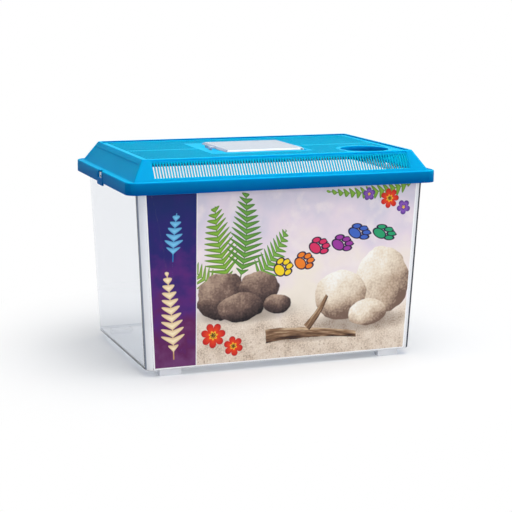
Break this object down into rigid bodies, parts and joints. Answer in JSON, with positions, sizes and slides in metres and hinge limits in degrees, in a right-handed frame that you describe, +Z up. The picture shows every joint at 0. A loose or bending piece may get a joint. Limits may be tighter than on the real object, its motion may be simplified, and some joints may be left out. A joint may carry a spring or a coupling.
{
  "type": "pet keeper",
  "caption": "Clear rectangular tank for small pets with a vented blue lid, end latches, a hinged feeding hatch and a printed front label.",
  "frame": {"origin": "middle of the footprint, on the surface that the feet stand on", "axes": "+X along the length, towards the right end as seen from the labelled front; -Y out of the labelled front; +Z up"},
  "size_m": [0.3692, 0.23, 0.2422],
  "materials": {
    "clear_tank": "clear polystyrene, polished",
    "blue_lid": "moulded polypropylene, satin",
    "clear_hatch": "clear polystyrene, polished",
    "printed_label": "printed film, satin"
  },
  "bodies": {
    "tank": {"tank": "clear_tank", "label": "printed_label"},
    "lid": {"lid": "blue_lid"},
    "hatch": {"hatch": "clear_hatch"},
    "left_latch": {"left_latch": "blue_lid"},
    "right_latch": {"right_latch": "blue_lid"}
  },
  "joints": [
    {"name": "lid_lift", "type": "slide", "parent": "tank", "child": "lid", "axis": [0, 0, 1], "range_m": [0, 0.12]},
    {"name": "hatch_hinge", "type": "hinge", "parent": "lid", "child": "hatch", "pos_m": [0.0445, 0, 0.2364], "axis": [0, 1, 0], "range_deg": [0, 120]},
    {"name": "left_latch_flex", "type": "hinge", "parent": "lid", "child": "left_latch", "pos_m": [-0.1835, 0, 0.2157], "axis": [0, 1, 0], "range_deg": [0, 8], "stiffness_Nm_per_rad": 0.3},
    {"name": "right_latch_flex", "type": "hinge", "parent": "lid", "child": "right_latch", "pos_m": [0.1835, 0, 0.2157], "axis": [0, -1, 0], "range_deg": [0, 8], "stiffness_Nm_per_rad": 0.3}
  ]
}
